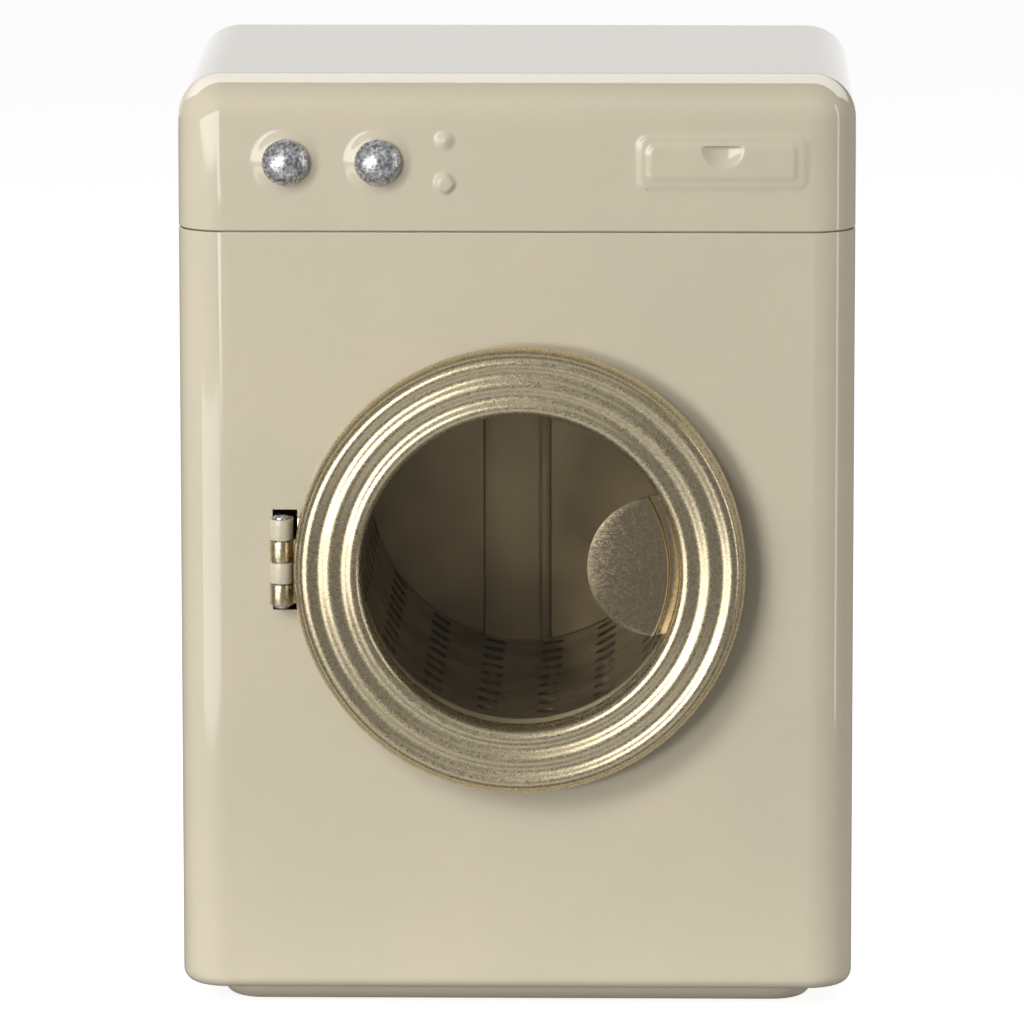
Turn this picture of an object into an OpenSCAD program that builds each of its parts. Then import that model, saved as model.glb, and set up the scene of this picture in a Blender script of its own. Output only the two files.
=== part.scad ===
// Toy washing machine of pressed tin, for a dolls' house, with a round door that opens.
// Millimetres. The origin is the centre of the base's underside, +Z is up, and the front faces -Y.

/* [Cabinet] */
// Width of the cabinet
body_w = 86.4; // [85:0.2:94]
// Depth of the cabinet, without the door
body_d = 62; // [56:0.5:72]
// Height of the whole machine
total_h = 121; // [119:0.5:136]
// Thickness of the pressed sheet
sheet_t = 0.6; // [0.4:0.05:0.75]
// Radius of the upright corners
corner_r = 5.8; // [5.7:0.1:8]
// Height of the top cap, from the seam to the top
cap_h = 19.6; // [18:0.2:22]
// Radius of the edge round the top
cap_edge_r = 5.6; // [4:0.1:5.7]
// Open seam between the cap and the body
seam_gap = 0.2; // [0.1:0.05:0.4]
// Height of the neck that the cap is pushed over
neck_h = 5; // [3:0.25:6]
// Radius of the edge round the bottom of the body
body_edge_r = 1.8; // [1.4:0.1:3.4]
// Clearance between pressed parts that fit into each other
fit_gap = 0.05; // [0.03:0.01:0.08]

/* [Back seam] */
// Width of the lapped sheet inside the back
lap_w = 6.7; // [5:0.1:9]
// Width of the bend at the end of the lap
lap_bend_w = 1.3; // [1:0.1:2]
// Distance of the lap's bend from the middle of the back
lap_x = 2.5; // [0:0.1:5]
// Width of the fine groove that the joint leaves outside
lap_groove_w = 0.4; // [0.3:0.05:0.8]

/* [Base] */
// Height of the stepped base
plinth_h = 2.6; // [2.3:0.1:4.5]
// How far the base is set in from the body
plinth_inset = 5.1; // [4.3:0.1:7]
// Radius of the base's corners
plinth_corner_r = 5.2; // [3:0.1:7]
// Radius of the base's lower edge
plinth_edge_r = 1.7; // [0.8:0.1:2]

/* [Controls] */
// Distance of the left knob from the left side
knob_side = 13.9; // [12:0.1:16]
// Distance between the two knobs
knob_pitch = 11.75; // [10:0.25:14]
// Drop of the row of controls below the top
control_drop = 10.75; // [10:0.05:11.2]
// Radius of a knob's domed head
knob_r = 2.95; // [2.5:0.05:3.3]
// Height of the dome
knob_dome_h = 1.5; // [1:0.1:2.2]
// Height of the straight rim under the dome
knob_rim_h = 0.3; // [0.2:0.05:0.5]
// Radius of a knob's shank
shank_r = 1.0; // [0.7:0.05:1.2]
// Radial clearance of the shank in its hole
shank_gap = 0.05; // [0.03:0.01:0.09]
// Radius of the round seat pressed up under a knob
seat_r = 4.15; // [3.9:0.05:4.8]
// Height of the seat
seat_h = 0.6; // [0.4:0.05:0.9]
// Distance of the two buttons from the left side
button_side = 34.2; // [33:0.1:38]
// Distance between the buttons
button_pitch = 5.5; // [4:0.1:6.5]
// Radius of a button's foot
button_r = 1.4; // [1.1:0.05:1.8]
// Height of a button
button_h = 0.6; // [0.4:0.05:1]
// Distance of the drawer front's middle from the right side
drawer_side = 17.0; // [16.5:0.1:20]
// Width of the raised drawer front
drawer_w = 21.7; // [18:0.1:22.5]
// Height of the raised drawer front
drawer_h = 7.2; // [6:0.1:8.4]
// Width of the step that frames the drawer front
drawer_step_w = 1.3; // [0.8:0.1:1.8]
// Height of each of its two steps
drawer_step_h = 0.3; // [0.2:0.05:0.45]
// Width of the half-moon finger scoop
scoop_w = 5.4; // [4:0.1:7]
// Depth of the finger scoop
scoop_deep = 0.7; // [0.4:0.05:0.8]

/* [Doorway and drum] */
// Sideways place of the door's centre
door_x = 0.5; // [-1:0.1:1.5]
// Height of the door's centre
door_z = 58.1; // [55:0.1:61]
// Inner radius of the drum
drum_r = 21.1; // [20.2:0.05:21.5]
// Wall of the drum
drum_t = 0.45; // [0.3:0.05:0.6]
// Radius of the drum's holes
hole_r = 1.55; // [1:0.05:1.9]
// Holes round the drum
hole_cols = 17; // [12:1:18]
// Distance between the rings of holes
hole_pitch = 5.8; // [5:0.1:7]
// Distance of the first ring of holes behind the front
hole_first = 5.2; // [5:0.1:7]
// Sheet of the two rings that carry the drum
collar_t = 0.5; // [0.4:0.05:0.6]
// Depth of the front collar's sleeve
collar_deep = 3.4; // [2.5:0.1:4]
// Width of the flanges of the rings that carry the drum
collar_flange_w = 2.3; // [1.5:0.1:2.4]
// Depth of the rear ring's sleeve
rear_deep = 2.2; // [1.5:0.1:3]

/* [Door] */
// Largest radius of the door ring
ring_r = 28.9; // [28.2:0.1:30]
// Radius of the window opening
window_r = 20.3; // [19.5:0.1:20.8]
// Sheet of the door ring
ring_t = 0.5; // [0.35:0.05:0.6]
// Radius of the inner bead
bead_in_r = 1.2; // [1:0.05:1.5]
// Radius of the outer bead
bead_out_r = 1.15; // [1:0.05:1.4]
// Height of the beads above the window pane
bead_rise = 3.3; // [3:0.1:4.2]
// Depth of the valleys between the beads
valley_deep = 1.25; // [0.9:0.05:1.4]
// Radius of the rolled rim
roll_r = 1.9; // [1.5:0.05:2.0]
// Thickness of the window pane
pane_t = 1.0; // [0.7:0.1:1.3]
// Width of the pane's edge held behind the ring
pane_lap = 1.3; // [1:0.1:1.6]
// Thickness of the ring that closes the door's back
backring_t = 0.5; // [0.4:0.05:0.7]
// Running gap between the closed door and the body
door_gap = 0.2; // [0.15:0.05:0.4]

/* [Handle] */
// Radius of the half-moon handle plate
handle_r = 9.0; // [7.5:0.1:10]
// Distance of the plate's centre from the window's centre
handle_off = 17.6; // [16.5:0.1:18.5]
// Height of the plate's centre above the window's centre
handle_dz = 0.7; // [0:0.1:1.5]
// Thickness of the plate
handle_t = 0.5; // [0.4:0.05:0.6]
// Height of the plate's face above the pane
handle_rise = 1.6; // [1.3:0.1:2]
// Radius of the plate's bend beside the ring
handle_bend_r = 0.6; // [0.6:0.05:0.8]
// Gap between the bend and the ring's opening
handle_edge_gap = 1.1; // [0.8:0.1:1.6]
// Thickness of the foot clamped under the ring
foot_t = 0.3; // [0.2:0.05:0.4]
// How far the foot reaches under the ring
foot_lap = 0.7; // [0.5:0.05:0.9]

/* [Hinge] */
// Height of the hinge above the door's centre
hinge_dz = 0.8; // [0:0.1:1.5]
// Distance of the hinge axis in front of the body
hinge_p = 1.2; // [1.1:0.02:1.28]
// Radius of the hinge pin
pin_r = 1.0; // [0.9:0.02:1.1]
// Radial clearance of the pin in its knuckles
pin_gap = 0.05; // [0.03:0.01:0.08]
// Sheet of the hinge leaves
leaf_t = 0.45; // [0.4:0.01:0.5]
// Length of one knuckle
knuckle_l = 2.7; // [2.4:0.1:3]
// Gap between knuckles
knuckle_gap = 0.1; // [0.08:0.02:0.2]
// Number of knuckles
knuckle_n = 4; // [4:2:6]
// Length of pin that stands out at each end
pin_out = 0.45; // [0.3:0.05:0.7]
// Gap between the knuckles and the door's rim, seen from the front
rim_gap = 0.1; // [0.1:0.05:0.4]
// Clearance of the slot beside the knuckles
slot_gap = 0.25; // [0.2:0.05:0.4]
// Open length of the slot past each end of the knuckles
slot_end = 0.95; // [0.6:0.05:1.4]
// Distance of the leaf inside the body from the rounded corner
body_leaf_side = 0.9; // [0.4:0.1:2]
// Radius of the two leaf rivets
rivet_r = 0.6; // [0.4:0.05:0.7]
// Distance between the leaf rivets
rivet_pitch = 6.8; // [6:0.1:7.5]
// Radius of the rivets' heads
rivet_head_r = 0.9; // [0.8:0.05:1]

/* [Catch] */
// Radius of the catch magnet
magnet_r = 1.9; // [1.5:0.1:2.1]
// Thickness of the catch magnet
magnet_t = 1.5; // [1:0.1:2.5]
// Width of the foot round the magnet's cup
cup_foot_w = 0.9; // [0.6:0.05:1]

/* [Hidden] */
$fn = 96;

cream = [0.80, 0.76, 0.67];
gold = [0.68, 0.61, 0.47];
tin = [0.55, 0.52, 0.47];
silver = [0.75, 0.76, 0.77];

// Cabinet
front_y = -body_d / 2;
inner_front_y = front_y + sheet_t;
inner_back_y = body_d / 2 - sheet_t;
seam_z = total_h - cap_h;
shoulder_z = seam_z - seam_gap;
control_z = total_h - control_drop;
cut = 1;

// Base
tray_w = body_w - 2 * plinth_inset;
tray_d = body_d - 2 * plinth_inset;
tray_flange_w = plinth_inset - body_edge_r - 0.4;

// Drum
collar_in_r = drum_r - fit_gap - collar_t;
collar_out_r = drum_r - fit_gap;
drum_front = sheet_t + collar_t + fit_gap;
drum_back = body_d - sheet_t - fit_gap - sheet_t;
rear_in_r = drum_r + drum_t + fit_gap;
hole_rows = floor((drum_back - hole_r - 1 - hole_first) / hole_pitch) + 1;

// Door, in distances in front of the body's front
leaf_p = door_gap;
backring_p = leaf_p + leaf_t;
pane_p = backring_p + backring_t;
pane_face_p = pane_p + pane_t;
crest_p = pane_face_p + bead_rise;
floor_p = crest_p - valley_deep;
roll_c = ring_r - roll_r;
roll_p = pane_p + roll_r;
bead_in_c = window_r + bead_in_r;
bead_out_c = roll_c + 0.1;
bead_mid_r = (bead_out_c - bead_out_r - bead_in_c - bead_in_r) / 2;
bead_mid_c = bead_in_c + bead_in_r + bead_mid_r;
pane_r = window_r + pane_lap;
backring_in_r = window_r + fit_gap;
backring_out_r = roll_c - fit_gap;
handle_edge_r = window_r - handle_edge_gap;
foot_r = window_r + foot_lap;

// Hinge
knuckle_r = pin_r + pin_gap + leaf_t;
hinge_x = door_x - ring_r - knuckle_r - rim_gap;
hinge_y = front_y - hinge_p;
hinge_z = door_z + hinge_dz;
knuckle_step = knuckle_l + knuckle_gap;
barrel_l = knuckle_n * knuckle_step - knuckle_gap;
barrel_z = hinge_z - barrel_l / 2;
slot_left = hinge_x - sqrt(pow(knuckle_r, 2) - pow(hinge_p, 2)) - slot_gap;
slot_right = hinge_x + knuckle_r + 2 * slot_gap;
body_leaf_x = -body_w / 2 + corner_r + body_leaf_side;
rivet_x = door_x - (pane_r + backring_out_r) / 2 + 0.8;
door_leaf_end = rivet_x + rivet_head_r + 0.4;

// Knobs
seat_top_r = seat_r - 0.7;
washer_t = 0.3;
nut_t = 0.5;
tail_t = 0.4;
knob_x = [-body_w / 2 + knob_side, -body_w / 2 + knob_side + knob_pitch];
head_y = front_y - seat_h - fit_gap;
washer_y = front_y - seat_h + sheet_t;
nut_y = washer_y + washer_t + fit_gap;
tail_y = nut_y + nut_t;

// Catch
magnet_x = door_x + roll_c;
cup_t = 0.4;
cup_in_r = magnet_r + fit_gap;
cup_foot_r = cup_in_r + cup_t + cup_foot_w;

// A rounded rectangle of true arcs, centred
module round_rect(w, d, r) {
    square([w - 2 * r, d], center = true);
    square([w, d - 2 * r], center = true);
    for (sx = [-1, 1], sy = [-1, 1])
        translate([sx * (w / 2 - r), sy * (d / 2 - r)])
            circle(r);
}

// Carries an outline round a rounded rectangle: the outline's x runs outwards from the corner's
// centre line, where x = r is the outer face, and its y becomes height
module around(w, d, r) {
    for (k = [0 : 3])
        rotate([0, 0, 90 * k]) {
            off = (k % 2 == 0 ? w : d) / 2 - r;
            len = (k % 2 == 0 ? d : w) - 2 * r;
            translate([off, len / 2, 0])
                rotate([90, 0, 0])
                    linear_extrude(len) children();
            translate([off, len / 2, 0])
                rotate_extrude(angle = 90) children();
        }
}

// A quarter of a ring of sheet, in the quadrant of positive x and y
module quarter_ring(r, t) {
    intersection() {
        difference() {
            circle(r);
            circle(r - t);
        }
        square(r + 1);
    }
}

// A disc whose axis runs back from the point given
module disc_y(x, y, z, r, t) {
    translate([x, y, z])
        rotate([-90, 0, 0])
            cylinder(h = t, r = r);
}

// Turns an outline round the door's axis: x is the radius and y is the distance in front of the body
module turned_on_door() {
    translate([door_x, front_y, door_z])
        rotate([90, 0, 0])
            rotate_extrude() children();
}

// The same, with y as the distance behind the body's front
module turned_behind_door() {
    translate([door_x, front_y, door_z])
        rotate([-90, 0, 0])
            rotate_extrude() children();
}

// Body: one folded sheet with a rounded lower edge and a stepped neck for the cap

module body_wall_outline() {
    inner = corner_r - sheet_t;
    edge_z = plinth_h + body_edge_r;
    translate([inner, edge_z])
        square([sheet_t, shoulder_z - edge_z]);
    translate([corner_r - body_edge_r, edge_z])
        mirror([0, 1])
            quarter_ring(body_edge_r, sheet_t);
    neck_x = inner - fit_gap - sheet_t;
    translate([neck_x, shoulder_z - sheet_t])
        square([corner_r - neck_x, sheet_t]);
    translate([neck_x, shoulder_z - sheet_t])
        square([sheet_t, sheet_t + seam_gap + neck_h]);
}

module bottom_flange() {
    rim_w = body_w - 2 * body_edge_r;
    rim_d = body_d - 2 * body_edge_r;
    translate([0, 0, plinth_h])
        linear_extrude(sheet_t)
            difference() {
                round_rect(rim_w, rim_d, corner_r - body_edge_r);
                round_rect(tray_w + 2 * fit_gap, tray_d + 2 * fit_gap, plinth_corner_r + fit_gap);
            }
}

module back_lap() {
    low_z = plinth_h + body_edge_r;
    translate([0, 0, low_z])
        linear_extrude(shoulder_z - sheet_t - low_z)
            polygon([
                [lap_x - lap_bend_w - lap_w, inner_back_y],
                [lap_x - lap_bend_w - lap_w, inner_back_y - sheet_t],
                [lap_x - lap_bend_w, inner_back_y - sheet_t],
                [lap_x, inner_back_y]]);
}

module body_shell() {
    color(cream)
        difference() {
            union() {
                around(body_w, body_d, corner_r) body_wall_outline();
                bottom_flange();
                back_lap();
            }
            disc_y(door_x, front_y - cut, door_z, collar_out_r + fit_gap, sheet_t + 2 * cut);
            translate([slot_left, front_y - cut, barrel_z - slot_end])
                cube([slot_right - slot_left, sheet_t + 2 * cut, barrel_l + 2 * slot_end]);
            translate([lap_x - lap_bend_w, body_d / 2 - sheet_t / 2, plinth_h + body_edge_r])
                cube([lap_groove_w, sheet_t, shoulder_z - plinth_h - body_edge_r - cut]);
        }
}

// Top cap: a deep-drawn lid with the controls pressed into its front

module cap_outline() {
    edge_z = total_h - cap_edge_r;
    translate([corner_r - sheet_t, seam_z])
        square([sheet_t, edge_z - seam_z]);
    translate([corner_r - cap_edge_r, edge_z])
        quarter_ring(cap_edge_r, sheet_t);
    translate([0, total_h - sheet_t])
        square([corner_r - cap_edge_r, sheet_t]);
}

module cone_y(x, z, y, r_foot, r_top, h) {
    translate([x, y, z])
        rotate([90, 0, 0])
            cylinder(h = h, r1 = r_foot, r2 = r_top);
}

module pad(w, h, r, rise) {
    translate([body_w / 2 - drawer_side, front_y + sheet_t / 2, control_z])
        rotate([90, 0, 0])
            linear_extrude(rise + sheet_t / 2)
                round_rect(w, h, r);
}

module drawer_front() {
    pad(drawer_w, drawer_h, 1.5, drawer_step_h);
    pad(drawer_w - 2 * drawer_step_w, drawer_h - 2 * drawer_step_w, 0.6, 2 * drawer_step_h);
}

module scoop() {
    ball_r = (pow(scoop_w / 2, 2) + pow(scoop_deep, 2)) / (2 * scoop_deep);
    top_z = control_z + drawer_h / 2 - drawer_step_w - 0.35;
    face_y = front_y - 2 * drawer_step_h;
    intersection() {
        translate([body_w / 2 - drawer_side, face_y + scoop_deep - ball_r, top_z])
            sphere(ball_r);
        translate([body_w / 2 - drawer_side - scoop_w, face_y - cut, top_z - scoop_w])
            cube([2 * scoop_w, scoop_deep + 2 * cut, scoop_w]);
    }
}

module top_cap() {
    button_x = -body_w / 2 + button_side;
    color(cream)
        difference() {
            union() {
                around(body_w, body_d, corner_r) cap_outline();
                translate([-body_w / 2 + corner_r, -body_d / 2 + corner_r, total_h - sheet_t])
                    cube([body_w - 2 * corner_r, body_d - 2 * corner_r, sheet_t]);
                for (x = knob_x)
                    cone_y(x, control_z, front_y, seat_r, seat_top_r, seat_h);
                cone_y(button_x, control_z + button_pitch / 2, front_y, button_r, button_r / 3, button_h);
                cone_y(button_x, control_z - button_pitch / 2, front_y, button_r, button_r * 0.75, button_h);
                drawer_front();
            }
            for (x = knob_x) {
                cone_y(x, control_z, front_y + sheet_t, seat_r - 0.3, seat_top_r - 0.3, seat_h);
                disc_y(x, front_y - seat_h - cut, control_z, shank_r + shank_gap, 2 * cut + seat_h + sheet_t);
            }
            scoop();
        }
}

// Base: a shallow pan whose rim hooks over the body's bottom flange

module tray_outline() {
    square([plinth_corner_r - plinth_edge_r, sheet_t]);
    translate([plinth_corner_r - plinth_edge_r, plinth_edge_r])
        mirror([0, 1])
            quarter_ring(plinth_edge_r, sheet_t);
    translate([plinth_corner_r - sheet_t, plinth_edge_r])
        square([sheet_t, plinth_h + 2 * sheet_t - plinth_edge_r]);
    translate([plinth_corner_r - sheet_t, plinth_h + sheet_t])
        square([sheet_t + tray_flange_w, sheet_t]);
}

module base_tray() {
    color(cream) {
        around(tray_w, tray_d, plinth_corner_r) tray_outline();
        translate([-tray_w / 2 + plinth_corner_r, -tray_d / 2 + plinth_corner_r, 0])
            cube([tray_w - 2 * plinth_corner_r, tray_d - 2 * plinth_corner_r, sheet_t]);
    }
}

// Drum and the two rings that carry it

module drum() {
    color(tin)
        difference() {
            turned_behind_door()
                translate([drum_r, drum_front])
                    square([drum_t, drum_back - drum_front]);
            for (row = [0 : hole_rows - 1], col = [0 : hole_cols - 1])
                translate([door_x, front_y + hole_first + row * hole_pitch, door_z])
                    rotate([0, 180 + 12 + col * 360 / hole_cols, 0])
                        translate([0, 0, drum_r - cut])
                            cylinder(h = drum_t + 2 * cut, r = hole_r);
        }
}

module drum_front_collar() {
    color(cream)
        turned_behind_door() {
            translate([collar_in_r, 0])
                square([collar_t, collar_deep]);
            translate([collar_in_r, sheet_t])
                square([collar_t + collar_flange_w, collar_t]);
        }
}

module drum_rear_ring() {
    back = body_d - 2 * sheet_t;
    color(tin)
        turned_behind_door() {
            translate([rear_in_r, back - rear_deep])
                square([collar_t, rear_deep]);
            translate([rear_in_r, back - collar_t])
                square([collar_t + collar_flange_w, collar_t]);
        }
}

// Door: a pressed ring with three beads, the pane, the ring behind it and the handle

module ring_skin(inset) {
    translate([bead_in_c, crest_p - bead_in_r])
        circle(bead_in_r - inset);
    translate([bead_mid_c, crest_p - bead_mid_r])
        circle(bead_mid_r - inset);
    translate([bead_out_c, crest_p - bead_out_r])
        circle(bead_out_r - inset);
    translate([roll_c, roll_p])
        circle(roll_r - inset);
}

module ring_outline() {
    difference() {
        union() {
            ring_skin(0);
            translate([window_r, pane_face_p])
                square([roll_c - window_r, floor_p - pane_face_p]);
        }
        ring_skin(ring_t);
        translate([window_r + ring_t, 0])
            square([roll_c - window_r - ring_t, floor_p - ring_t]);
    }
}

module handle_outline(extra) {
    translate([door_x + handle_off, front_y, door_z + handle_dz])
        rotate([90, 0, 0])
            cylinder(h = crest_p, r = handle_r + extra);
}

module door_ring() {
    color(gold)
        difference() {
            turned_on_door() ring_outline();
            intersection() {
                handle_outline(2 * fit_gap);
                turned_on_door()
                    translate([window_r - cut, pane_face_p - cut])
                        square([ring_t + 2 * cut, cut + foot_t + fit_gap]);
            }
        }
}

module door_back_ring() {
    color(gold)
        difference() {
            turned_on_door()
                translate([backring_in_r, backring_p])
                    square([backring_out_r - backring_in_r, backring_t]);
            for (s = [-1, 1])
                disc_y(rivet_x, front_y - pane_p - cut, hinge_z + s * rivet_pitch / 2, rivet_r + fit_gap,
                    backring_t + 2 * cut);
        }
}

module window_pane() {
    color([0.8, 0.85, 0.85, 0.4])
        turned_on_door()
            translate([0, pane_p])
                square([pane_r, pane_t]);
}

module handle_plate() {
    plate_p = pane_face_p + handle_rise - handle_t;
    bend_c = handle_edge_r - handle_bend_r;
    bend_p = pane_face_p + handle_rise - handle_bend_r;
    color(gold)
        intersection() {
            turned_on_door() {
                translate([0, plate_p])
                    square([bend_c, handle_t]);
                translate([bend_c, bend_p])
                    quarter_ring(handle_bend_r, handle_t);
                translate([handle_edge_r - handle_t, pane_face_p])
                    square([handle_t, bend_p - pane_face_p]);
                translate([handle_edge_r - handle_t, pane_face_p])
                    square([foot_r - handle_edge_r + handle_t, foot_t]);
            }
            handle_outline(0);
        }
}

// Hinge: two leaves rolled round one pin

module knuckle(k) {
    translate([hinge_x, hinge_y, barrel_z + k * knuckle_step])
        difference() {
            cylinder(h = knuckle_l, r = knuckle_r);
            translate([0, 0, -cut])
                cylinder(h = knuckle_l + 2 * cut, r = pin_r + pin_gap);
        }
}

module door_hinge_leaf() {
    strip_x = hinge_x + pin_r + pin_gap + leaf_t / 4;
    plate_x = slot_right;
    color(gold)
        difference() {
            union() {
                for (k = [0 : 2 : knuckle_n - 1]) {
                    knuckle(k);
                    translate([strip_x, front_y - leaf_p - leaf_t, barrel_z + k * knuckle_step])
                        cube([plate_x - strip_x, leaf_t, knuckle_l]);
                }
                translate([plate_x, front_y - leaf_p - leaf_t, barrel_z])
                    cube([door_leaf_end - plate_x, leaf_t, barrel_l]);
            }
            for (s = [-1, 1])
                disc_y(rivet_x, front_y - backring_p - cut, hinge_z + s * rivet_pitch / 2, rivet_r + fit_gap,
                    leaf_t + 2 * cut);
        }
}

module door_leaf_rivets() {
    color(gold)
        for (s = [-1, 1]) {
            disc_y(rivet_x, front_y - pane_p, hinge_z + s * rivet_pitch / 2, rivet_r, backring_t + leaf_t);
            disc_y(rivet_x, front_y - pane_p - 0.4, hinge_z + s * rivet_pitch / 2, rivet_head_r, 0.4);
        }
}

module body_hinge_leaf() {
    strip_x = hinge_x + pin_r + pin_gap;
    color(cream) {
        for (k = [1 : 2 : knuckle_n - 1]) {
            knuckle(k);
            translate([strip_x, hinge_y, barrel_z + k * knuckle_step])
                cube([leaf_t, inner_front_y + leaf_t - hinge_y, knuckle_l]);
        }
        translate([body_leaf_x, inner_front_y, barrel_z])
            cube([strip_x + leaf_t - body_leaf_x, leaf_t, barrel_l]);
    }
}

module hinge_pin() {
    chamfer = pin_r / 4;
    color(silver)
        translate([hinge_x, hinge_y, 0])
            rotate_extrude()
                polygon([
                    [0, barrel_z - pin_out],
                    [pin_r - chamfer, barrel_z - pin_out],
                    [pin_r, barrel_z - pin_out + chamfer],
                    [pin_r, barrel_z + barrel_l + pin_out - chamfer],
                    [pin_r - chamfer, barrel_z + barrel_l + pin_out],
                    [0, barrel_z + barrel_l + pin_out]]);
}

// Catch: a small magnet in a cup behind the front, which holds the steel door ring

module catch_magnet() {
    color([0.25, 0.25, 0.26])
        disc_y(magnet_x, inner_front_y, door_z, magnet_r, magnet_t);
}

module magnet_cup() {
    color(tin)
        difference() {
            union() {
                disc_y(magnet_x, inner_front_y, door_z, cup_foot_r, cup_t);
                disc_y(magnet_x, inner_front_y, door_z, cup_in_r + cup_t, magnet_t + cup_t);
            }
            disc_y(magnet_x, inner_front_y - cut, door_z, cup_in_r, magnet_t + cut);
        }
}

// Knobs: domed rivets that turn in their seats, each held by a nut behind a washer

module knob(x) {
    ball_r = (pow(knob_r, 2) + pow(knob_dome_h, 2)) / (2 * knob_dome_h);
    color(silver)
        translate([x, head_y, control_z])
            rotate([90, 0, 0])
                rotate_extrude() {
                    square([knob_r, knob_rim_h]);
                    intersection() {
                        translate([0, knob_rim_h + knob_dome_h - ball_r])
                            circle(ball_r);
                        translate([0, knob_rim_h])
                            square([knob_r + 1, knob_dome_h + 1]);
                    }
                    translate([0, head_y - tail_y])
                        square([shank_r, tail_y - head_y]);
                    translate([0, head_y - tail_y - tail_t])
                        square([shank_r + 0.35, tail_t]);
                }
}

module left_knob() {
    knob(knob_x[0]);
}

module right_knob() {
    knob(knob_x[1]);
}

module knob_nut(x) {
    color(tin)
        difference() {
            disc_y(x, nut_y, control_z, 2 * shank_r, nut_t);
            disc_y(x, nut_y - cut, control_z, shank_r + fit_gap / 2, nut_t + 2 * cut);
        }
}

module left_knob_nut() {
    knob_nut(knob_x[0]);
}

module right_knob_nut() {
    knob_nut(knob_x[1]);
}

module knob_washers() {
    color(tin)
        for (x = knob_x)
            difference() {
                disc_y(x, washer_y, control_z, 2.4 * shank_r, washer_t);
                disc_y(x, washer_y - cut, control_z, shank_r + 2 * shank_gap, washer_t + 2 * cut);
            }
}

body_shell();
top_cap();
base_tray();
drum();
drum_front_collar();
drum_rear_ring();
door_ring();
door_back_ring();
window_pane();
handle_plate();
door_hinge_leaf();
door_leaf_rivets();
body_hinge_leaf();
hinge_pin();
catch_magnet();
magnet_cup();
left_knob();
right_knob();
left_knob_nut();
right_knob_nut();
knob_washers();
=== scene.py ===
# %% [markdown]
# # A pressed-tin toy washing machine
# The real toy is a dolls' house washing machine of thin painted sheet: a body folded from one
# sheet, a deep-drawn cap pushed over its neck, a shallow base, a round door of champagne-gold sheet
# and two domed silver knobs. The engineering model already has every piece at its full size. This
# lesson dresses it: the pieces that show are modelled again with soft pressed edges, the rest keep
# their exact shape, and each one gets a paint or metal of its own.

# %% Load the fixed frame
import bmesh
import bpy
import math
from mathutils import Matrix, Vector


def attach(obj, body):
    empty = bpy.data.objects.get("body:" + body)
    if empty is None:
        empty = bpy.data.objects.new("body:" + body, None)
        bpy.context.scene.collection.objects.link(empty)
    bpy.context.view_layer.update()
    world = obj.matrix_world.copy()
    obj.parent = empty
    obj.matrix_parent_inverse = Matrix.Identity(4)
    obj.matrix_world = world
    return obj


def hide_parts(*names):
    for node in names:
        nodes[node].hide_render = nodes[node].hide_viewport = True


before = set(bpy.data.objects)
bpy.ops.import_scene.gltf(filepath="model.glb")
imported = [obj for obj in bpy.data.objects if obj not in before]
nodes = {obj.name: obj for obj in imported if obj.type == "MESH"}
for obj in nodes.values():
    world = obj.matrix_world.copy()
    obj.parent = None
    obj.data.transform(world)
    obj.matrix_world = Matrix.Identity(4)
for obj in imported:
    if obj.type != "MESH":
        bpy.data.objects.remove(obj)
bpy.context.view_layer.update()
print("pieces in the frame:", len(nodes))

# %% [markdown]
# The sizes below are in millimetres, estimated from the photo and the same as in the engineering
# model. X runs to the right, Y runs back into the machine and Z runs up, with the origin under the
# middle of the base.

# %% Name the sizes of the cabinet
MM = 0.001
WIDTH = 86.4
DEPTH = 62.0
HEIGHT = 121.0
FRONT = -DEPTH / 2
BACK = DEPTH / 2
SHEET = 0.6
CORNER = 5.8
CAP_EDGE = 5.6
SEAM = 101.4
SHOULDER = 101.2
BODY_LOW = 2.6
BODY_EDGE = 1.8
DOOR_X = 0.5
DOOR_Z = 58.1
print("cabinet:", WIDTH, "by", DEPTH, "by", HEIGHT, "mm")

# %% [markdown]
# Each step is done as by hand: a primitive is added at its place, its faces are picked by where
# they are, and an edit-mode tool shapes them. These few helpers keep the cells short. Everything is
# deselected first, because an operator acts on all that is selected.

# %% Helpers for picking and editing
def deselect():
    if bpy.context.mode != "OBJECT":
        bpy.ops.object.mode_set(mode="OBJECT")
    bpy.ops.object.select_all(action="DESELECT")


def activate(piece):
    deselect()
    piece.select_set(True)
    bpy.context.view_layer.objects.active = piece


def settle(name):
    """Names the newest object and puts its place, turn and size into its mesh."""
    piece = bpy.context.active_object
    piece.name = piece.data.name = name
    bpy.ops.object.transform_apply(location=True, rotation=True, scale=True)
    return piece


def edit(piece):
    activate(piece)
    bpy.ops.object.mode_set(mode="EDIT")
    bpy.ops.mesh.select_mode(type="VERT")
    bpy.ops.mesh.select_all(action="DESELECT")


def pick(piece, kind, test):
    """Selects the vertices, edges or faces of the piece being edited that pass a test, in mm."""
    bpy.ops.mesh.select_mode(type=kind)
    mesh = bmesh.from_edit_mesh(piece.data)
    if kind == "VERT":
        for vert in mesh.verts:
            vert.select_set(test(vert.co / MM))
    if kind == "EDGE":
        for edge in mesh.edges:
            edge.select_set(test(edge.verts[0].co / MM, edge.verts[1].co / MM))
    if kind == "FACE":
        for face in mesh.faces:
            face.select_set(test(face.calc_center_median() / MM, face.normal))
    bmesh.update_edit_mesh(piece.data)


def modify(piece, kind, **settings):
    """Adds one modifier with these settings and applies it."""
    activate(piece)
    step = piece.modifiers.new(kind.title(), kind)
    for name, value in settings.items():
        setattr(step, name, value)
    bpy.ops.object.modifier_apply(modifier=step.name)


def smooth(piece, degrees=20):
    activate(piece)
    bpy.ops.object.shade_smooth_by_angle(angle=math.radians(degrees))


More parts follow.
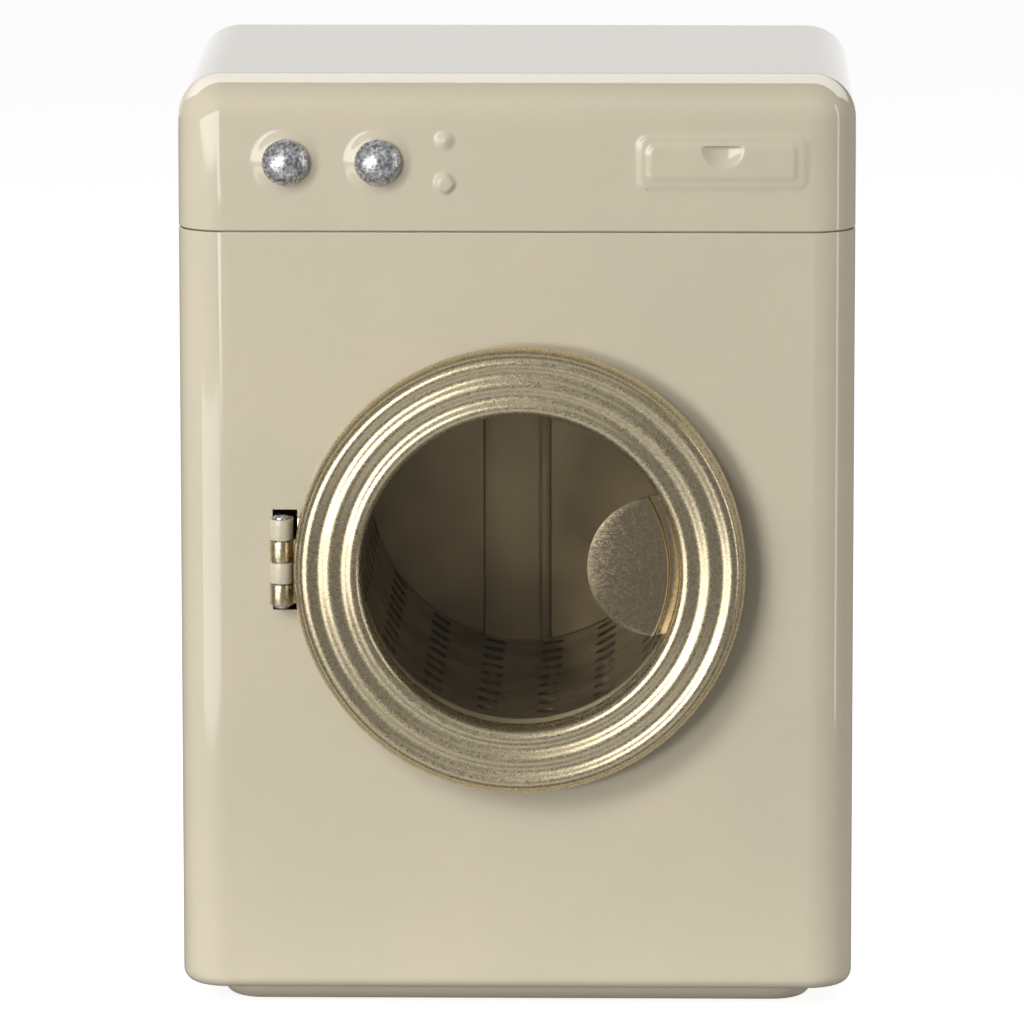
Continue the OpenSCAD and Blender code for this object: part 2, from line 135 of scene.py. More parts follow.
def soften(piece, width, segments):
    """Bevels the edges that bend by more than 50 degrees."""
    modify(piece, "BEVEL", width=width * MM, segments=segments,
           limit_method="ANGLE", angle_limit=math.radians(50))


def join(name, parts):
    """Joins some pieces into the first one."""
    deselect()
    for part in parts:
        part.select_set(True)
    bpy.context.view_layer.objects.active = parts[0]
    bpy.ops.object.join()
    parts[0].name = parts[0].data.name = name
    return parts[0]


print("ready to pick, edit, soften and join")

# %% [markdown]
# Sheet metal starts as a flat blank or a turned form, and so do the pieces here: each one is a box, a
# cylinder or an outline spun round an axis. The other helpers round a box's edges with the bevel tool.

# %% Helpers for starting shapes
def box(name, low, high):
    """A cube primitive between two corners."""
    centre = [(a + b) / 2 * MM for a, b in zip(low, high)]
    size = [(b - a) * MM for a, b in zip(low, high)]
    deselect()
    bpy.ops.mesh.primitive_cube_add(size=1, location=centre, scale=size)
    return settle(name)


def disc(name, x, y, z, radius, length, sides=96, axis="Y"):
    """A cylinder primitive that starts at a point and runs along Y or Z."""
    deselect()
    half = length / 2
    place = (x, y + half, z) if axis == "Y" else (x, y, z + half)
    bpy.ops.mesh.primitive_cylinder_add(
        vertices=sides, radius=radius * MM, depth=length * MM,
        location=[v * MM for v in place],
        rotation=(math.pi / 2 if axis == "Y" else 0, 0, 0))
    return settle(name)


def upright(a, b):
    return abs(a.x - b.x) < 0.01 and abs(a.y - b.y) < 0.01 and abs(a.z - b.z) > 0.5


def round_uprights(piece, radius, segments):
    """Rounds the upright edges of a box with the bevel tool."""
    edit(piece)
    pick(piece, "EDGE", upright)
    bpy.ops.mesh.bevel(offset=radius * MM, segments=segments, affect="EDGES")
    bpy.ops.object.mode_set(mode="OBJECT")


def round_rim(piece, z, radius, segments):
    """Rounds the edges that lie at one height."""
    edit(piece)
    pick(piece, "EDGE", lambda a, b: abs(a.z - z) < 0.01 and abs(b.z - z) < 0.01)
    bpy.ops.mesh.bevel(offset=radius * MM, segments=segments, affect="EDGES")
    bpy.ops.object.mode_set(mode="OBJECT")


def frame_flats(piece, border, test):
    """Insets large flat faces a little, so that the rounded edges' shading stays off the flats."""
    edit(piece)
    pick(piece, "FACE", test)
    bpy.ops.mesh.inset(thickness=border * MM, use_individual=True)
    bpy.ops.object.mode_set(mode="OBJECT")


def spun(name, points, steps, x=DOOR_X, z=DOOR_Z):
    """Draws an outline point by point, as (radius, y) in mm, and spins it round an axis along Y."""
    deselect()
    start_r, start_y = points[0]
    bpy.ops.mesh.primitive_plane_add(size=MM, location=((x + start_r) * MM, start_y * MM, z * MM))
    piece = settle(name)
    edit(piece)
    bpy.ops.mesh.select_all(action="SELECT")
    bpy.ops.mesh.merge(type="CENTER")
    for (r0, y0), (r1, y1) in zip(points, points[1:]):
        step = ((r1 - r0) * MM, (y1 - y0) * MM, 0)
        bpy.ops.mesh.extrude_vertices_move(TRANSFORM_OT_translate={"value": step})
    bpy.ops.mesh.select_all(action="SELECT")
    bpy.ops.mesh.spin(steps=steps, angle=2 * math.pi, center=(x * MM, 0, z * MM), axis=(0, 1, 0))
    bpy.ops.mesh.select_all(action="SELECT")
    bpy.ops.mesh.remove_doubles(threshold=0.001 * MM)
    bpy.ops.mesh.normals_make_consistent(inside=False)
    bpy.ops.object.mode_set(mode="OBJECT")
    return piece


def arc(cx, cy, radius, start, end, steps):
    """Points along a circle, from one angle to another, in degrees."""
    turn = [math.radians(start + (end - start) * i / steps) for i in range(steps + 1)]
    return [(cx + radius * math.cos(t), cy + radius * math.sin(t)) for t in turn]


def report(piece):
    print(piece.name, "faces:", len(piece.data.polygons))


print("ready to start shapes round the door's axis at", DOOR_X, DOOR_Z)

# %% [markdown]
# ## The body
# The real body is one sheet folded round four soft corners, with its lower edge rolled under and a
# stepped neck at the top for the cap. A box is rounded with the bevel tool, opened at the top,
# given its neck by extruding the open edge, and thickened to sheet.

# %% Shape the body's outside
body = box("body_sheet", (-WIDTH / 2, FRONT, BODY_LOW), (WIDTH / 2, BACK, SHOULDER))
round_uprights(body, CORNER, 14)
round_rim(body, BODY_LOW, BODY_EDGE, 8)
edit(body)
pick(body, "FACE", lambda c, n: n.z > 0.9)
bpy.ops.mesh.delete(type="FACE")
bpy.ops.object.mode_set(mode="OBJECT")
report(body)

# %% [markdown]
# The neck steps in by a little more than one sheet, so that the cap slides over it. The open edge is
# extruded, drawn in and extruded up. Solidify then gives the whole skin its thickness, inwards.

# %% Extrude the neck that the cap is pushed over
NECK_STEP = 0.65
NECK_RISE = 5.2
edit(body)
pick(body, "EDGE", lambda a, b: a.z > SHOULDER - 0.01 and b.z > SHOULDER - 0.01)
middle = (0, 0, SHOULDER * MM)
bpy.ops.mesh.extrude_edges_move()
bpy.ops.transform.resize(
    value=((WIDTH - 2 * NECK_STEP) / WIDTH, (DEPTH - 2 * NECK_STEP) / DEPTH, 1),
    center_override=middle)
bpy.ops.mesh.extrude_edges_move(TRANSFORM_OT_translate={"value": (0, 0, NECK_RISE * MM)})
bpy.ops.object.mode_set(mode="OBJECT")
frame_flats(body, 0.3, lambda c, n: 20 < c.z < 80 and max(abs(n.x), abs(n.y)) > 0.999)
modify(body, "SOLIDIFY", thickness=SHEET * MM, offset=-1, use_even_offset=True)
report(body)

# %% [markdown]
# The opening for the base, the doorway, the hinge slot and the fine groove of the back seam are cut
# with booleans from plain cutters. That comes after the sheet has its thickness, so the cut edges
# are as thick as the sheet. A narrow bevel then takes the sharpness off, because paint never has a
# knife edge.

# %% Cut the openings and the back seam's groove
HOLE_INSET = 5.05
HOLE_CORNER = 5.25
DOORWAY_R = 21.1


def cut(piece, cutter):
    modify(piece, "BOOLEAN", operation="DIFFERENCE", object=cutter, solver="EXACT")
    bpy.data.objects.remove(cutter)


base_hole = box("base_hole", (-WIDTH / 2 + HOLE_INSET, FRONT + HOLE_INSET, 0),
                (WIDTH / 2 - HOLE_INSET, BACK - HOLE_INSET, 4))
round_uprights(base_hole, HOLE_CORNER, 12)
cut(body, base_hole)
cut(body, disc("doorway_cutter", DOOR_X, FRONT - 1, DOOR_Z, DOORWAY_R, 3, sides=160))
cut(body, box("slot_cutter", (-31.15, FRONT - 1, 52.4), (-28.0, FRONT + 2, 65.4)))
cut(body, box("groove_cutter", (1.2, BACK - 0.3, 4.4), (1.6, BACK + 1, 100.2)))
soften(body, 0.1, 2)
smooth(body)
report(body)

# %% [markdown]
# The ends of the folded sheet overlap inside the back. The photo shows that lap through the window,
# as a dark line on the left and two thin ones on the right, so it gets soft edges and two small hems.

# %% Lay the lapped sheet inside the back
LAP_LOW = 4.4
LAP_HIGH = 100.6
HEM_R = 0.2
lap = box("back_lap", (-5.5, BACK - 2 * SHEET, LAP_LOW), (3.6, BACK - SHEET, LAP_HIGH))
edit(lap)
pick(lap, "EDGE", lambda a, b: a.y < 29.9 and b.y < 29.9 and upright(a, b))
bpy.ops.mesh.bevel(offset=0.25 * MM, segments=4, affect="EDGES")
bpy.ops.object.mode_set(mode="OBJECT")
hems = [disc("hem", x, BACK - 2 * SHEET, LAP_LOW, HEM_R, LAP_HIGH - LAP_LOW, sides=16, axis="Z")
        for x in (2.2, 3.3)]
for part in [lap] + hems:
    smooth(part, 60)
lap = join("back_lap", [lap] + hems)
report(lap)

# %% [markdown]
# ## The cap
# The cap is drawn from one sheet, and its controls are pressed into its front: two round seats, two
# buttons and a drawer front with a finger scoop. The same is done here. The front is divided finely,
# wrapped onto dies with the Shrinkwrap modifier, and relaxed across its surface with Smooth, which
# leaves the soft shoulders that pressed sheet has.

# %% Shape the cap's outside
cap = box("cap_sheet", (-WIDTH / 2, FRONT, SEAM), (WIDTH / 2, BACK, HEIGHT))
round_uprights(cap, CORNER, 14)
round_rim(cap, HEIGHT, CAP_EDGE, 14)
edit(cap)
pick(cap, "FACE", lambda c, n: n.z < -0.9)
bpy.ops.mesh.delete(type="FACE")
bpy.ops.object.mode_set(mode="OBJECT")
frame_flats(cap, 0.12, lambda c, n: max(n.z, n.y, abs(n.x)) > 0.999 and n.y > -0.5)
report(cap)

# %% [markdown]
# The dies can only press where there are points to move, so the flat part of the front is divided
# into 375 columns and 70 rows. A vertex group remembers which points belong to it.

# %% Divide the flat front finely
flat_x = WIDTH / 2 - CORNER
flat_top = HEIGHT - CAP_EDGE


def on_front(point):
    beside = abs(point.x) < flat_x + 0.01
    return abs(point.y - FRONT) < 0.01 and beside and point.z < flat_top + 0.01


edit(cap)
for cuts in (24, 14):
    pick(cap, "EDGE", lambda a, b: on_front(a) and on_front(b) and abs(a.z - b.z) < 0.01)
    bpy.ops.mesh.subdivide(number_cuts=cuts)
pick(cap, "EDGE", lambda a, b: on_front(a) and on_front(b) and abs(a.x - b.x) < 0.01)
bpy.ops.mesh.subdivide(number_cuts=69)
cap.vertex_groups.new(name="front sheet")
pick(cap, "VERT", on_front)
bpy.ops.object.vertex_group_assign()
bpy.ops.object.mode_set(mode="OBJECT")
report(cap)

# %% [markdown]
# A die stands in front of the sheet by the height of the pressing. The front is wrapped onto it along
# Y and then relaxed. More rounds of relaxing give a softer shoulder.

# %% Press the front over its dies
KNOB_X = (-29.3, -17.55)
CONTROL_Z = 110.25
BUTTON_X = -9.0
DRAWER_X = 26.2
DRAWER_RISE = 0.56


def press(die, relax, inward=False):
    """Wraps the front onto a die along Y, then relaxes it along Y."""
    modify(cap, "SHRINKWRAP", target=die, wrap_method="PROJECT", vertex_group="front sheet",
           use_project_x=False, use_project_y=True, use_project_z=False,
           use_negative_direction=not inward, use_positive_direction=inward)
    bpy.data.objects.remove(die)
    modify(cap, "SMOOTH", factor=0.5, iterations=relax, use_x=False, use_y=True, use_z=False,
           vertex_group="front sheet")


def round_die(name, x, z, radius, rise, edge):
    die = disc(name, x, FRONT - rise, z, radius, 8)
    edit(die)
    pick(die, "EDGE", lambda a, b: a.y < FRONT and b.y < FRONT)
    bpy.ops.mesh.bevel(offset=edge * MM, segments=16, affect="EDGES")
    bpy.ops.object.mode_set(mode="OBJECT")
    return die


def pad_die(name, width, height, corner, rise):
    die = box(name, (DRAWER_X - width / 2, FRONT - rise, CONTROL_Z - height / 2),
              (DRAWER_X + width / 2, FRONT + 6, CONTROL_Z + height / 2))
    edit(die)
    pick(die, "EDGE", lambda a, b: abs(a.y - b.y) > 1)
    bpy.ops.mesh.bevel(offset=corner * MM, segments=8, affect="EDGES")
    bpy.ops.object.mode_set(mode="OBJECT")
    return die


for knob_x in KNOB_X:
    press(round_die("seat_die", knob_x, CONTROL_Z, radius=6.85, rise=0.6, edge=5.1), 1)
press(pad_die("drawer_die", width=21.4, height=6.9, corner=1.5, rise=0.28), 4)
press(pad_die("drawer_step_die", width=18.7, height=4.3, corner=0.6, rise=DRAWER_RISE), 5)
press(round_die("round_button_die", BUTTON_X, 107.5, radius=1.15, rise=0.5, edge=0.15), 2)
report(cap)

# %% [markdown]
# The upper button comes to a low point, so its die is a cone. The finger scoop is pressed the other
# way, into the drawer front, over the lower half of a ball.

# %% Press the pointed button and the finger scoop
SCOOP_R = 5.5
SCOOP_TOP = 112.2
SCOOP_DEEP = 0.72
deselect()
bpy.ops.mesh.primitive_cone_add(
    vertices=64, radius1=3.0 * MM, radius2=0.2 * MM, depth=1.5 * MM,
    location=(BUTTON_X * MM, (FRONT + 0.17) * MM, 113.0 * MM), rotation=(math.pi / 2, 0, 0))
press(settle("point_button_die"), 3)
deselect()
bpy.ops.mesh.primitive_uv_sphere_add(
    segments=96, ring_count=64, radius=SCOOP_R * MM,
    location=(DRAWER_X * MM, (FRONT - DRAWER_RISE + SCOOP_DEEP - SCOOP_R) * MM, SCOOP_TOP * MM))
scoop = settle("scoop_die")
edit(scoop)
bpy.ops.mesh.select_all(action="SELECT")
bpy.ops.mesh.bisect(plane_co=(0, 0, SCOOP_TOP * MM), plane_no=(0, 0, 1), clear_outer=True)
bpy.ops.object.mode_set(mode="OBJECT")
press(scoop, 1, inward=True)
report(cap)

# %% [markdown]
# The knobs' shanks pass through the front, so the faces behind each knob go first. Then the skin gets
# its thickness, the lower lip a small bevel, and weighted normals keep the large flats even.

# %% Thicken the cap and soften its lower lip
SHANK_HOLE_R = 1.2


def behind_a_knob(centre, normal):
    near = [math.hypot(centre.x - x, centre.z - CONTROL_Z) < SHANK_HOLE_R for x in KNOB_X]
    return normal.y < -0.5 and any(near)


edit(cap)
pick(cap, "FACE", behind_a_knob)
bpy.ops.mesh.delete(type="FACE")
bpy.ops.object.mode_set(mode="OBJECT")
modify(cap, "SOLIDIFY", thickness=SHEET * MM, offset=-1)
edit(cap)
pick(cap, "FACE", lambda c, n: c.z < SEAM + 0.05 and n.z < -0.9)
bpy.ops.mesh.region_to_loop()
bpy.ops.mesh.bevel(offset=0.12 * MM, segments=2, affect="EDGES")
bpy.ops.object.mode_set(mode="OBJECT")
smooth(cap, 28)
modify(cap, "WEIGHTED_NORMAL", keep_sharp=True)
report(cap)

# %% [markdown]
# ## The door ring
# The ring is one sheet pressed into three round beads, with its inner lip turned back onto the pane
# and its outer rim rolled. Its section is drawn as arcs, and the Spin tool carries that line round
# the door's axis. Sheet can't fold sharply, so a small circle rounds each groove between two beads,
# which leaves the soft waves that the photo shows.

# %% Draw the ring's section and spin it
PANE_FACE = 2.15
# Each bead is an arc: its distance from the axis, its height in front of the body, its radius.
BEADS = [(21.5, 4.25, 1.2), (24.325, 3.825, 1.625), (27.1, 4.3, 1.15)]
ROLL = (27.0, 3.05, 1.9)
VALLEY = 1.3
LIP_R = 20.3
RING_SHEET = 0.45


def proud(points):
    """Turns distances in front of the body into Y."""
    return [(r, FRONT - p) for r, p in points]


def valley_between(a, b, radius):
    """The centre of a small circle that lies in the groove between two beads."""
    apart = math.dist(a[:2], b[:2])
    near = a[2] + radius
    far = b[2] + radius
    along = (apart ** 2 + near ** 2 - far ** 2) / (2 * apart)
    up = math.sqrt(near ** 2 - along ** 2)
    ux, uy = (b[0] - a[0]) / apart, (b[1] - a[1]) / apart
    return (a[0] + along * ux - up * uy, a[1] + along * uy + up * ux)


def bearing(a, b):
    return math.degrees(math.atan2(b[1] - a[1], b[0] - a[0]))


section = [(LIP_R, PANE_FACE + 0.02)]
start = 180
for bead, after in zip(BEADS, BEADS[1:]):
    groove = valley_between(bead, after, VALLEY)
    section += arc(*bead, start, bearing(bead, groove), 14)
    section += arc(*groove, VALLEY, bearing(groove, bead), bearing(groove, after), 8)[1:-1]
    start = bearing(after, groove)
section += arc(*BEADS[2], start, 10, 12)
section += arc(*ROLL, 49, -90, 18)
ring = spun("door_ring_sheet", proud(section), steps=160)
modify(ring, "SOLIDIFY", thickness=RING_SHEET * MM, offset=-1)
smooth(ring, 40)
report(ring)

# %% [markdown]
# ## The handle
# A half-moon plate stands in front of the pane and is bent back beside the ring. The bend is spun as
# the ring was, and a round cutter kept by an Intersect boolean gives the half-moon outline.

# %% Spin the handle plate and cut its outline
HANDLE_SHEET = 0.4
BEND_AT = 18.6
BEND_R = 0.6
plate_face = PANE_FACE + 1.6
foot_face = PANE_FACE + 0.3
bend = [(0.5, plate_face), (BEND_AT, plate_face)]
bend += arc(BEND_AT, plate_face - BEND_R, BEND_R, 90, 0, 6)[1:]
bend += [(19.2, foot_face), (21.0, foot_face)]
handle = spun("handle_sheet", proud(bend), steps=160)
edit(handle)
bpy.ops.mesh.select_all(action="SELECT")
bpy.ops.mesh.bisect(
    plane_co=((DOOR_X + 6) * MM, 0, 0), plane_no=(-1, 0, 0), clear_outer=True)
bpy.ops.object.mode_set(mode="OBJECT")
modify(handle, "SOLIDIFY", thickness=HANDLE_SHEET * MM, offset=-1)
outline = disc("handle_outline", DOOR_X + 17.6, FRONT - 6, DOOR_Z + 0.7, 9.0, 6, sides=128)
modify(handle, "BOOLEAN", operation="INTERSECT", object=outline, solver="EXACT")
bpy.data.objects.remove(outline)
soften(handle, 0.17, 3)
smooth(handle)
report(handle)

# %% [markdown]
# ## The knobs
# Each knob is the head of a rivet with a low dome that a hammer has finished, so the outline is
# spun and the hammered skin comes from the material's bump. The second is a copy with its own mesh.

# %% Spin a knob and copy it
HEAD = FRONT - 0.65
KNOB_R = 2.95
DOME = 1.5
RIM = 0.3
SHANK_R = 1.0
dome_r = (KNOB_R ** 2 + DOME ** 2) / (2 * DOME)
dome_c = RIM + DOME - dome_r
reach = math.degrees(math.asin(2.9 / dome_r))
profile = [(0.01, RIM + DOME)] + arc(0, dome_c, dome_r, 86, 90 - reach, 14)
profile += [(KNOB_R, RIM), (KNOB_R, 0.08), (2.87, 0.0), (SHANK_R, 0.0), (SHANK_R, -1.5)]
knob_points = [(r, HEAD - p) for r, p in profile]
left_knob = spun("left_knob_dome", knob_points, steps=64, x=KNOB_X[0], z=CONTROL_Z)
smooth(left_knob, 40)
activate(left_knob)
bpy.ops.object.duplicate()
right_knob = bpy.context.active_object
right_knob.name = right_knob.data.name = "right_knob_dome"
edit(right_knob)
bpy.ops.mesh.select_all(action="SELECT")
bpy.ops.transform.translate(value=((KNOB_X[1] - KNOB_X[0]) * MM, 0, 0))
bpy.ops.object.mode_set(mode="OBJECT")
report(right_knob)

# %% [markdown]
# ## The hinge
# Both leaves are strips of sheet rolled round one pin: cream for the body's knuckles and gold for
# the door's. Each knuckle is a short tube with softened ends, joined to its strip.

# %% Roll the knuckles and join them to their leaves
HINGE_X = -30.0
HINGE_Y = FRONT - 1.2
BARREL_Z = 53.35
KNUCKLE = 2.7
KNUCKLE_R = 1.5
BORE_R = 1.05
STEP = 2.8
BARREL_TOP = BARREL_Z + 4 * STEP - 0.1


def barrel(name, low, radius, length):
    return disc(name, HINGE_X, HINGE_Y, low, radius, length, sides=48, axis="Z")


def knuckle(low):
    tube = barrel("knuckle", low, KNUCKLE_R, KNUCKLE)
    cut(tube, barrel("pin_hole", low - 1, BORE_R, KNUCKLE + 2))
    soften(tube, 0.12, 3)
    return tube


def strip(across, low, high):
    """Upright sheet that covers (x0, y0, x1, y1), from one height to another."""
    x0, y0, x1, y1 = across
    plate = box("strip", (x0, y0, low), (x1, y1, high))
    modify(plate, "BEVEL", width=0.08 * MM, segments=2)
    return plate


def leaf(name, turns, tab, plate):
    """Two knuckles, a tab of sheet to each and the plate that the tabs run into."""
    lows = [BARREL_Z + turn * STEP for turn in turns]
    parts = [knuckle(low) for low in lows]
    parts += [strip(tab, low, low + KNUCKLE) for low in lows]
    parts.append(strip(plate, BARREL_Z, BARREL_TOP))
    made = join(name, parts)
    smooth(made, 25)
    report(made)
    return made


door_leaf = leaf("door_leaf_sheet", (0, 2), (-28.8, FRONT - 0.65, -27.9, FRONT - 0.2),
                 (-28.0, FRONT - 0.65, -21.7, FRONT - 0.2))
body_leaf = leaf("body_leaf_sheet", (1, 3), (-28.95, HINGE_Y, -28.5, FRONT + 1.05),
                 (-36.5, FRONT + 0.6, -28.5, FRONT + 1.05))

# %% [markdown]
# The pin is a short rod that stands a little proud of the knuckles at both ends, which are rounded.

# %% Turn the pin with domed ends
PIN_R = 1.0
PROUD = 0.45
pin_low = BARREL_Z - PROUD
pin_high = BARREL_TOP + PROUD
pin = barrel("hinge_pin_rod", pin_low, PIN_R, pin_high - pin_low)
soften(pin, 0.3, 4)
smooth(pin, 25)
report(pin)

# %% [markdown]
# ## Paints and metals
# A material is a small network of nodes. One class wraps a socket, so that maths on patterns reads
# as ordinary Python, and one method adds any other node. All patterns read Object coordinates,
# which are true metres here, so a scale of 1000 is one repeat a millimetre.

# %% A small language for materials
class Value:
    def __init__(self, finish, socket):
        self.finish = finish
        self.socket = socket

    def maths(self, operation, first, second):
        return self.finish.node("ShaderNodeMath", {"operation": operation}, {0: first, 1: second})

    def __add__(self, other):
        return self.maths("ADD", self, other)

    def __sub__(self, other):
        return self.maths("SUBTRACT", self, other)

    def __rsub__(self, other):
        return self.maths("SUBTRACT", other, self)

    def __mul__(self, other):
        return self.maths("MULTIPLY", self, other)

    def __lt__(self, other):
        return self.maths("LESS_THAN", self, other)

    def __gt__(self, other):
        return self.maths("GREATER_THAN", self, other)

    def over(self, low, high):
        """Zero below low, one above high, and smooth between."""
        return self.finish.node("ShaderNodeMapRange", {"interpolation_type": "SMOOTHSTEP"},
                                {"Value": self, "From Min": low, "From Max": high})


class Finish:
    def __init__(self, name, **constants):
        self.material = bpy.data.materials.new(name)
        self.material.use_nodes = True
        self.tree = self.material.node_tree
        self.shader = self.tree.nodes["Principled BSDF"]
        for socket, value in constants.items():
            self.shader.inputs[socket.replace("_", " ")].default_value = value
        self.place = self.node("ShaderNodeTexCoord", output="Object")

    def node(self, kind, settings=None, sockets=None, output=0):
        made = self.tree.nodes.new(kind)
        for name, value in (settings or {}).items():
            setattr(made, name, value)
        for name, value in (sockets or {}).items():
            if isinstance(value, Value):
                self.tree.links.new(value.socket, made.inputs[name])
            else:
                made.inputs[name].default_value = value
        return Value(self, made.outputs[output])

    def part(self, axis):
        """One coordinate, in metres."""
        return self.node("ShaderNodeSeparateXYZ", {}, {0: self.place}, axis)

    def noise(self, scale, detail, place=None):
        return self.node("ShaderNodeTexNoise", {}, {
            "Vector": place or self.place, "Scale": scale, "Detail": detail}, "Fac")

    def cells(self, scale, output="Distance", feature="F1"):
        return self.node("ShaderNodeTexVoronoi", {"feature": feature}, {
            "Vector": self.place, "Scale": scale}, output)

    def blend(self, mask, first, second):
        """One colour where the mask is 0 and another where it is 1."""
        return self.node("ShaderNodeMix", {"data_type": "RGBA"}, {0: mask, 6: first, 7: second}, 2)

    def dents(self, height, distance):
        """A bump of this height field, with its depth in metres."""
        return self.node("ShaderNodeBump", {}, {
            "Height": height, "Distance": distance, "Strength": 1.0})

    def feed(self, socket, value):
        self.tree.links.new(value.socket, self.shader.inputs[socket])


print("ready to mix finishes")

# %% [markdown]
# ### Cream gloss paint
# The paint is a warm beige with a wet gloss. Up close it drifts very slightly in colour, carries a
# few specks of dust under the surface and has a faint orange-peel ripple that breaks up reflections.
# The same folded sheet is browner and duller inside, so a mask finds the inside by its place. There
# the sheet is painted nearly black except on the back wall, as painted shade behind the drum. The back
# wall, which the window shows, is lighter than the rest and falls off to the right, which is painted
# shade.

# %% Mix the cream paint
cream = Finish("cream_gloss_paint", IOR=1.5)
drift = cream.noise(55, 3)
fine_drift = cream.noise(420, 4)
speck_size = cream.cells(120)
speck_pick = cream.node("ShaderNodeSeparateColor", {}, {0: cream.cells(120, "Color")}, 0)
specks = (1 - speck_size.over(0.018, 0.04)) * speck_pick.over(0.55, 0.6)
warm = (0.575, 0.510, 0.385, 1)
cool = (0.550, 0.495, 0.375, 1)
tone = cream.blend((drift * 0.7 + fine_drift * 0.3).over(0.35, 0.65), warm, cool)
along_x, along_y, along_z = (cream.part(axis) for axis in "XYZ")
across = along_x * along_x < 0.036 ** 2
inside = across * (along_y > 0) * (along_y < BACK * MM - 0.0003) * (along_z > 0.004) * (along_z < 0.1)
# Painted shade: the back wall darkens to the right, and the inside apart from the back wall is nearly
# black.
wall_drift_and_painted_shade = drift.over(0.3, 0.7) * 0.6 + 0.4 - along_x.over(-0.004, 0.018)
back_wall_with_painted_shade = cream.blend(wall_drift_and_painted_shade, (0.36, 0.315, 0.235, 1), (0.72, 0.635, 0.475, 1))
inside_with_painted_shade = cream.blend(along_y > 0.029, (0.10, 0.085, 0.062, 1), back_wall_with_painted_shade)
painted = cream.blend(specks * 0.55, tone, (0.20, 0.17, 0.13, 1))
cream.feed("Base Color", cream.blend(inside, painted, inside_with_painted_shade))
cream.feed("Metallic", inside * 0.6)
cream.feed("Roughness", cream.noise(900, 3) * 0.03 + inside * 0.25 + 0.035)
peel = cream.noise(700, 2) * 0.3 + cream.noise(60, 1) * 4.0 - specks * 0.8
cream.feed("Normal", cream.dents(peel, 0.003 * MM))
print("mixed", cream.material.name)

# %% [markdown]
# ### Champagne metallic paint
# Metallic paint is aluminium flakes in a tinted lacquer. Each flake lies at its own small angle, so
# a cell pattern gives every flake a slightly different tone, and a fine bump makes some flash. The
# flat handle shows less of both than the ring, so it gets a smoother mix of the same paint, whose
# lighter tone is also darker than the ring's: that is painted shade on the handle.

# %% Mix the champagne paint
def metallic_paint(name, dark, light, roughness, relief):
    paint = Finish(name, Metallic=1.0, IOR=1.5, Coat_Weight=0.4, Coat_Roughness=0.05)
    flake = paint.node("ShaderNodeSeparateColor", {}, {0: paint.cells(6500, "Color")}, 0)
    flake_tone = paint.node("ShaderNodeSeparateColor", {}, {0: paint.cells(4200, "Color")}, 1)
    grain = paint.noise(7000, 2)
    paint.feed("Base Color", paint.blend(flake * 0.55 + flake_tone * 0.3 + grain * 0.25, dark, light))
    paint.feed("Roughness", flake_tone * 0.08 + roughness)
    paint.feed("Normal", paint.dents(flake * 0.2 + grain, relief * MM))
    return paint


gold = metallic_paint("champagne_metallic_paint", (0.42, 0.345, 0.205, 1),
                      (0.80, 0.69, 0.47, 1), 0.26, 0.004)
# The handle's lighter tone is darker than the ring's, which is painted shade.
flat_gold_painted_darker = metallic_paint("champagne_on_the_handle_shaded", (0.44, 0.36, 0.23, 1),
                           (0.62, 0.51, 0.34, 1), 0.13, 0.002)
print("mixed", gold.material.name, flat_gold_painted_darker.material.name)

# %% [markdown]
# ### Hammered silver
# The knobs were finished with light hammering under a bright plating that has crazed, so their skin
# is a net of small ridges: cell edges and noise together feed one bump.

# %% Mix the hammered silver
silver = Finish("hammered_silver", Metallic=0.85)
ridges = silver.cells(2600, "Distance", "DISTANCE_TO_EDGE")
wrinkle = silver.noise(2400, 4)
coarse = silver.noise(600, 2)
silver.feed("Base Color", silver.blend(
    wrinkle.over(0.35, 0.7), (0.30, 0.30, 0.31, 1), (0.90, 0.91, 0.92, 1)))
silver.feed("Roughness", wrinkle * 0.15 + 0.20)
silver.feed("Normal", silver.dents(ridges * 1.5 + wrinkle + coarse, 0.018 * MM))
print("mixed", silver.material.name)

# %% [markdown]
# ### The drum's lacquered tin, plated steel and the magnet
# The drum is bare tin under a brownish lacquer with faint rolling lines round it. The nuts, washers
# and the magnet's cup are zinc-plated steel, and the magnet is dark and matte.

# %% Mix the inner metals
tin = Finish("lacquered_tin", Metallic=0.75, IOR=1.5)
turned = tin.node("ShaderNodeMapping", {}, {"Vector": tin.place, "Scale": (1, 12, 1)})
rolling = tin.noise(160, 3, place=turned)
stain = tin.noise(120, 3)
tin.feed("Base Color", tin.blend(stain.over(0.3, 0.7), (0.24, 0.20, 0.145, 1), (0.36, 0.315, 0.235, 1)))
tin.feed("Roughness", rolling * 0.2 + 0.32)
tin.feed("Normal", tin.dents(rolling, 0.02 * MM))
steel = Finish("zinc_plated_steel", Metallic=1.0)
scuff = steel.noise(900, 4)
steel.feed("Base Color", steel.blend(scuff.over(0.3, 0.7), (0.36, 0.36, 0.37, 1), (0.52, 0.52, 0.51, 1)))
steel.feed("Roughness", scuff * 0.25 + 0.25)
steel.feed("Normal", steel.dents(scuff, 0.02 * MM))
ferrite = Finish("magnet_ferrite", Metallic=0.0)
pores = ferrite.noise(2500, 3)
ferrite.feed("Base Color", ferrite.blend(
    pores.over(0.3, 0.7), (0.03, 0.03, 0.033, 1), (0.07, 0.07, 0.075, 1)))
ferrite.feed("Roughness", pores * 0.3 + 0.45)
ferrite.feed("Normal", ferrite.dents(pores, 0.03 * MM))
print("mixed", tin.material.name, steel.material.name, ferrite.material.name)

# %% [markdown]
# ### The clear window
# The pane is clear plastic. It is see-through where one looks straight at it and mirrors a little
# at a slant, so a Fresnel mask mixes a transparent and a glossy shader, and fine scuffs add haze.

